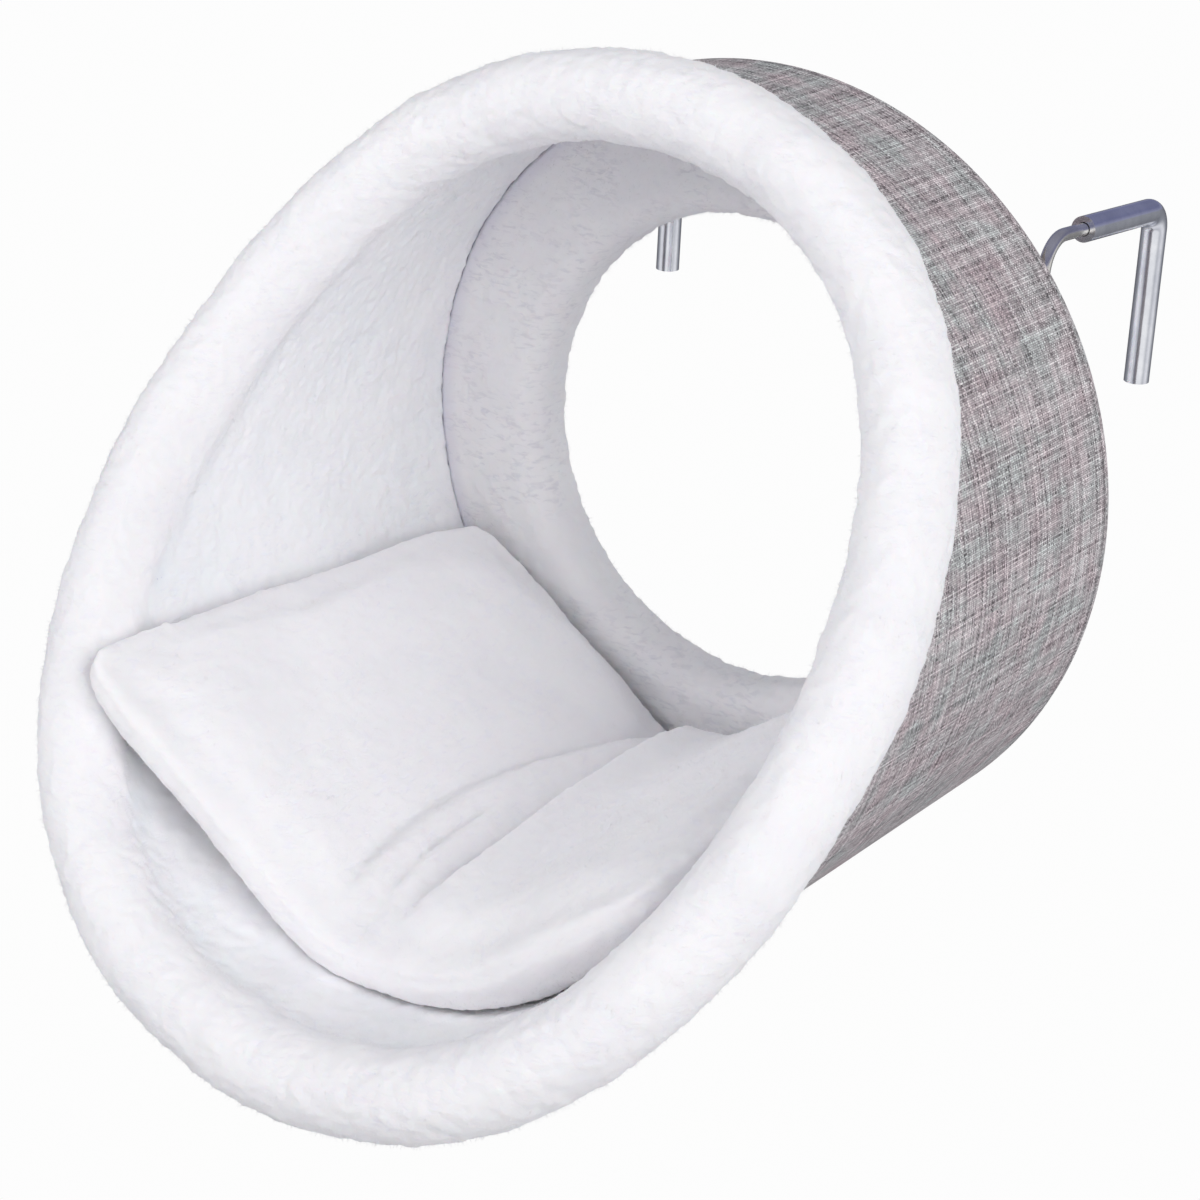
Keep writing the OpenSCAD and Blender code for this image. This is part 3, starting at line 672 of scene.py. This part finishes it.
def floor_r(a, d):
    """Radius that the cushion may reach at angle a and depth d, clear of lining and roll."""
    v = (mouth_depth(np.sin(a)) - d) / np.sqrt(1 + mouth_grade(a)**2) * roll_spread
    roll = np.where(v > 0, np.sqrt(np.maximum(0, roll_r**2 - v**2)), roll_r)
    near = bed_r - roll
    return inside_r - soft * np.log1p(np.exp((inside_r - near) / soft)) - pile_gap


def half_width(p, q):
    """Half the cushion's width: its left side widens to the front, its right side is narrower."""
    return cushion_w / 2 * (1 + left_flare * np.where(p < 0, q, -1))


def cushion_bend(p, q, inset):
    """Place across, height and depth of the cushion's middle sheet, and how far it is turned.

    p goes from -1 at the left to 1 at the right, q from -1 at the rear to 1 at the front. The
    right front corner is rounder than the others, and the right side bends more widely.
    """
    corner = np.where(q > 0, front_round, rear_round) * np.abs(p * q)**7
    corner = np.where((p > 0) & (q > 0), far_round * np.abs(p * q)**4, corner)
    reach = np.where(p < 0, left_reach, right_reach) * np.abs(p)**1.3 * (1 + q) / 2
    half_w = half_width(p, q) - inset
    slope = side_slope + slope_gain * q
    turn_r = bend_r * np.where(p > 0, 1 + wider_bend * (1 + q) / 2, 1)
    s = half_w * p * (1 - side_hollow * (1 - q * q) - corner)
    turn = np.clip(s / turn_r, -slope, slope)
    rest = s - turn_r * turn
    x = turn_r * np.sin(turn) + rest * np.cos(slope)
    z = (turn_r * (1 - np.cos(turn)) + np.abs(rest) * np.sin(slope)
         - inside_r + cushion_lift * (1 - lift_fall * q))
    half_l = (cushion_l / 2 - inset) * q * (1 - side_hollow * (1 - p * p))
    d = back_d + rear_gap + cushion_l / 2 + half_l - half_w * corner * q + reach
    return x, z, d, turn


def clear_of_tube(x, z, d, inset=0.0):
    """Points of the cushion at x, z and depth d, drawn in where they would reach the tube."""
    a = np.arctan2(z, x)
    return in_bed(np.minimum(np.hypot(x, z), floor_r(a, d) - inset), a, d)


def cushion_point(p, q, side, inset):
    """A point of the smooth cushion: p across and q along it, and side -1 below to 1 on top."""
    x, z, d, turn = cushion_bend(p, q, inset)
    edge = np.sqrt(np.maximum(0, (1 - p**16) * (1 - q**12)))
    crown = (1 - p * p) * (1 - q * q)
    rise = np.where(side > 0, top_edge * edge + top_crown * crown,
                    low_edge * edge + low_crown * crown)
    half = side * (seam_t / 2 + (cushion_h - seam_t) * rise - inset / 2)
    hold = np.minimum(1, (floor_r(np.arctan2(z, x), d) - seam_t / 2) / np.hypot(x, z))
    x, z = x * hold - half * np.sin(turn), z * hold + half * np.cos(turn)
    return clear_of_tube(x, z, d, inset / 2)


def closed_pad(name, top, low):
    """A closed mesh from the grids of points of a pad's two sides."""
    rows, columns = top.shape[:2]
    count = rows * columns
    j, i = np.meshgrid(np.arange(rows - 1), np.arange(columns - 1), indexing="ij")
    first = (j * columns + i).reshape(-1, 1)
    quads = first + np.array([0, 1, columns + 1, columns])
    left, right = np.arange(rows - 1, 0, -1) * columns, np.arange(rows - 1) * columns + columns - 1
    loop = np.concatenate([np.arange(columns - 1), right, count - 1 - np.arange(columns - 1), left])
    strip = np.stack([loop, np.roll(loop, -1), np.roll(loop, -1) + count, loop + count], -1)
    mesh = bpy.data.meshes.new(name)
    mesh.from_pydata(np.concatenate([top, low]).reshape(-1, 3).tolist(), [],
                     np.concatenate([quads, quads[:, ::-1] + count, strip[:, ::-1]]).tolist())
    made = bpy.data.objects.new(name, mesh)
    bpy.context.scene.collection.objects.link(made)
    return made


def read(values, key, width=1):
    """One number or vector for each item of a mesh's vertices or of an attribute."""
    found = np.empty(len(values) * width, np.float32)
    values.foreach_get(key, found)
    return found.reshape(-1, width).astype(float) if width > 1 else found.astype(float)


def write(mesh, name, values):
    """Stores one number for each vertex of a mesh."""
    made = mesh.attributes.get(name) or mesh.attributes.new(name, "FLOAT", "POINT")
    made.data.foreach_set("value", np.asarray(values, np.float32))


def step(x, low, high):
    """Rises smoothly from 0 at low to 1 at high."""
    t = np.clip((x - low) / (high - low), 0, 1)
    return t * t * (3 - 2 * t)


swell_room = 0.0008
swell_cap = 0.007
swell_frames = 20
held_share = 0.8
rows_along = 91
rows_across = 121
rows_edge = 9
q, p = np.meshgrid(np.linspace(-1, 1, rows_along), np.linspace(-1, 1, rows_across), indexing="ij")
top, low = cushion_point(p, q, 1.0, swell_room), cushion_point(p, q, -1.0, swell_room)
cushion = closed_pad("plush_cushion", top, low)
remesh = cushion.modifiers.new("remesh", "REMESH")
remesh.mode = "VOXEL"
remesh.voxel_size = 0.0042
mesh = bake(cushion)

# Each point's place on the cushion is kept as attributes, which its creases follow later.
rim_t = np.linspace(-1, 1, rows_across)
known = [(p.ravel(), q.ravel(), np.full(p.size, side), cushion_point(p, q, side, swell_room))
         for side in (1.0, -1.0)]
for side in np.linspace(-1, 1, rows_edge)[1:-1]:
    for edge_p, edge_q in ((rim_t, -1.0), (rim_t, 1.0), (-1.0, rim_t), (1.0, rim_t)):
        edge_p, edge_q = np.broadcast_arrays(edge_p, edge_q)
        known.append((edge_p, edge_q, np.full(edge_p.size, side),
                      cushion_point(edge_p, edge_q, side, swell_room)))
spots = np.concatenate([k[3].reshape(-1, 3) for k in known])
facts = np.concatenate([np.stack(k[:3], -1) for k in known])
nearest = kdtree.KDTree(len(spots))
for k, spot in enumerate(spots.tolist()):
    nearest.insert(spot, k)
nearest.balance()
start = read(mesh.vertices, "co", 3)
found = np.empty((len(start), 3))
for k, spot in enumerate(start.tolist()):
    near = nearest.find_n(spot, 4)
    weight = np.array([1 / (n[2] + 1e-4) for n in near])
    found[k] = weight @ facts[[n[1] for n in near]] / weight.sum()
for k, name in enumerate(("across", "along", "side")):
    write(mesh, name, found[:, k])

# The bag is blown up by a cloth simulation with pressure, less so at its sewn edge, and smoothed.
cloth = cushion.modifiers.new("cloth", "CLOTH")
cloth.settings.use_pressure = True
cloth.settings.uniform_pressure_force = 4.0
cloth.settings.effector_weights.gravity = 0.0
cloth.point_cache.frame_start = 1
cloth.point_cache.frame_end = swell_frames
for n in range(1, swell_frames + 1):
    bpy.context.scene.frame_set(n)
now = cushion.evaluated_get(bpy.context.evaluated_depsgraph_get())
moved = read(now.data.vertices, "co", 3) - start
cushion.modifiers.clear()
bpy.context.scene.frame_set(1)
length = np.linalg.norm(moved, axis=1)
held = held_share * step(np.abs(found[:, :2]).max(1), 0.90, 1.0)
length = np.maximum(length, 1e-9)
moved *= ((1 - held) * swell_cap * np.tanh(length / swell_cap) / length)[:, None]
mesh.vertices.foreach_set("co", (start + moved).astype(np.float32).ravel())
smoothing = cushion.modifiers.new("smooth", "SMOOTH")
smoothing.factor = 0.5
smoothing.iterations = 4
finer = cushion.modifiers.new("finer", "SUBSURF")
finer.levels = finer.render_levels = 1
mesh = bake(cushion)

# The creases: where each ridge runs, as places across it for places along it, then its height,
# the depth of the valley at its left, its width and where it begins and ends.
creases = (((-0.95, -0.63, -0.33, 0.0, 0.2, 0.45, 0.8),
            (-0.03, -0.10, -0.14, -0.17, -0.19, -0.20, -0.12),
            0.0050, 0.0080, 0.025, -1.1, 1.05),
           ((-0.9, -0.4, 0.0, 0.2, 0.7), (0.04, 0.03, 0.05, 0.06, 0.10),
            0.0060, 0.0080, 0.027, -1.1, 1.05),
           ((0.2, 0.45, 0.7, 0.95), (-0.09, -0.08, -0.05, 0.0),
            0.0035, 0.0055, 0.017, 0.0, 1.1))
spots = read(mesh.vertices, "co", 3)
p, q, side = [read(mesh.attributes[name].data, "value") for name in ("across", "along", "side")]
valley_off, crease_soft = 0.46, 0.0022
steep_ridge, steep_valley, wide_valley = 0.36, 0.28, 0.55
fade_in, fade_out = 0.25, 0.5
rise = np.zeros(len(spots))
for along, across, ridge_h, valley_d, width, begin, end in creases:
    line = np.polynomial.polynomial.polyfit(along, across, min(3, len(along) - 1))
    off = (p - np.polynomial.polynomial.polyval(q, line)) * half_width(p, q)
    ridge = np.exp(-(off / np.where(off > 0, width, steep_ridge * width))**2)
    dip = np.sqrt((off + valley_off * width)**2 + crease_soft**2)
    valley_w = np.where(off < -valley_off * width, wide_valley * width, steep_valley * width)
    valley = np.exp(-(dip - crease_soft) / valley_w)
    fade = step(q, begin, begin + fade_in) * (1 - step(q, end - fade_out, end))
    rise += (ridge_h * ridge - valley_d * valley) * fade
rise *= step(side, 0.2, 1.0)
turn = cushion_bend(np.clip(p, -1, 1), np.clip(q, -1, 1), 0.0)[3]
x, z = spots[:, 0] - rise * np.sin(turn), spots[:, 2] - axis_z + rise * np.cos(turn)
spots = clear_of_tube(x, z, rear_y - spots[:, 1])
mesh.vertices.foreach_set("co", spots.astype(np.float32).ravel())
mesh.update()

# The seam round the edge is a shallow channel with thinner pile.
seam_d, seam_thinning, seam_half = 0.0010, 0.15, 0.5
seam = np.exp(-(side / seam_half)**2) * step(np.maximum(np.abs(p), np.abs(q)), 0.97, 0.99)
normals = np.empty(len(spots) * 3, np.float32)
mesh.vertices.foreach_get("normal", normals)
spots = spots - normals.reshape(-1, 3) * (seam_d * seam)[:, None]
mesh.vertices.foreach_set("co", spots.astype(np.float32).ravel())
write(mesh, "pile", 1 - seam_thinning * seam)

# The fibre filling is a plain copy of the bag, just inside its plush.
filling_gap, filling_share = 1.3, 0.2
filling = bpy.data.objects.new("loose_filling", mesh.copy())
bpy.context.scene.collection.objects.link(filling)
filling.data.name = "loose_filling"
filling.data.vertices.foreach_set(
    "co", (spots - normals.reshape(-1, 3) * plush_t * filling_gap).astype(np.float32).ravel())
fewer = filling.modifiers.new("fewer", "DECIMATE")
fewer.ratio = filling_share
bake(filling)
filling.data.materials.clear()
filling.data.materials.append(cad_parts["cushion_filling"].data.materials[0])
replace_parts(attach(filling, "cushion"), "cushion_filling")
grow_pile(cushion, white_plush, 3, Clump_height=0.0008, Tuft_height=0.0007)
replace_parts(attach(cushion, "cushion"), "cushion_cover")


# The studio is a pale floor under the bed, a soft white room and three soft lights. The room's own
# glow is what the plush and the cover show, and its dark and light bands are for the steel.
floor_mesh = bpy.data.meshes.new("floor")
half = 12.0
floor_drop = 0.35
floor_z = cad_box[0].z - floor_drop
floor_mesh.from_pydata([(-half, -half, floor_z), (half, -half, floor_z), (half, half, floor_z),
                        (-half, half, floor_z)], [], [(0, 1, 2, 3)])
floor = bpy.data.objects.new("floor", floor_mesh)
bpy.context.scene.collection.objects.link(floor)
material, tree, shader = finish("pale_floor", Roughness=0.9, Base_Color=(0.62, 0.62, 0.63, 1))
seen = node(tree, "ShaderNodeLightPath").outputs["Is Camera Ray"]
glow = node(tree, "ShaderNodeEmission", {"Color": (1, 1, 1, 1), "Strength": 0.98})
both = node(tree, "ShaderNodeMixShader", {0: seen, 1: shader.outputs[0], 2: glow.outputs[0]})
tree.links.new(both.outputs[0], tree.nodes["Material Output"].inputs["Surface"])
floor_mesh.materials.append(material)
floor.visible_glossy = False

world = bpy.data.worlds.new("studio")
world.use_nodes = True
bpy.context.scene.world = world
tree = world.node_tree
tree.nodes.clear()
way = node(tree, "ShaderNodeTexCoord").outputs["Generated"]
above = node(tree, "ShaderNodeSeparateXYZ", {0: way}).outputs[2]


def facing(direction):
    """How far a ray goes towards a direction, from 0 to 1."""
    made = node(tree, "ShaderNodeVectorMath", {0: way, 1: direction}, operation="DOT_PRODUCT")
    return node(tree, "ShaderNodeMapRange", {"Value": made.outputs["Value"],
                                             "From Min": -1.0}).outputs["Result"]


def mixed(factor, first, second, blend="MIX"):
    return node(tree, "ShaderNodeMix", {0: factor, 6: first, 7: second}, data_type="RGBA",
                blend_type=blend).outputs[2]


walls = ramp(tree, facing((0.66, -0.56, 0.50)), (0.18, (0.22, 0.23, 0.25)),
             (0.50, (0.62, 0.63, 0.66)), (0.85, (1.0, 1.0, 1.0)))
ceiling = ramp(tree, above, (0.50, (1.0, 1.0, 1.0)), (0.85, (0.24, 0.24, 0.27)))
low_strips = ramp(tree, facing((0.52, -0.76, 0.25)), (0.03, (0.12, 0.12, 0.14)),
                  (0.30, (0.32, 0.33, 0.36)), (0.52, (0.90, 0.90, 0.92)),
                  (0.66, (0.80, 0.80, 0.83)), (0.76, (0.60, 0.61, 0.64)), (0.86, (1.0, 1.0, 1.0)))
high = ramp(tree, above, (0.0, (0.35, 0.36, 0.49)), (0.25, (0.17, 0.18, 0.31)),
            (0.7, (0.27, 0.28, 0.38)))
level = ramp(tree, above, (0.0, (0, 0, 0)), (0.05, (1, 1, 1)))
light_path = node(tree, "ShaderNodeLightPath").outputs
room = mixed(light_path["Is Glossy Ray"], mixed(1.0, walls, ceiling, "MULTIPLY"),
             mixed(level, low_strips, high))
seen = light_path["Is Camera Ray"]
room = node(tree, "ShaderNodeBackground", {"Color": room, "Strength": 0.90})
white = node(tree, "ShaderNodeBackground", {"Color": (1, 1, 1, 1), "Strength": 1.0})
both = node(tree, "ShaderNodeMixShader", {0: seen, 1: room.outputs[0], 2: white.outputs[0]})
node(tree, "ShaderNodeOutputWorld", {0: both.outputs[0]})


def softbox(name, place, aim, size, watts):
    lamp = bpy.data.lights.new(name, "AREA")
    lamp.shape = "SQUARE"
    lamp.size = size
    lamp.energy = watts
    made = bpy.data.objects.new(name, lamp)
    bpy.context.scene.collection.objects.link(made)
    made.location = place
    away = made.location - type(made.location)(aim)
    made.rotation_euler = away.to_track_quat("Z", "Y").to_euler()
    made.visible_glossy = False
    return made


middle = (0, -0.15, -0.1)
softbox("key_light", (2.2, -1.2, 1.0), middle, 1.8, 29)
softbox("fill_light", (-1.6, -1.7, 1.2), middle, 1.6, 22)
softbox("back_light", (0.4, 2.3, 0.5), middle, 1.6, 10)

bpy.context.scene.view_settings.view_transform = "Standard"
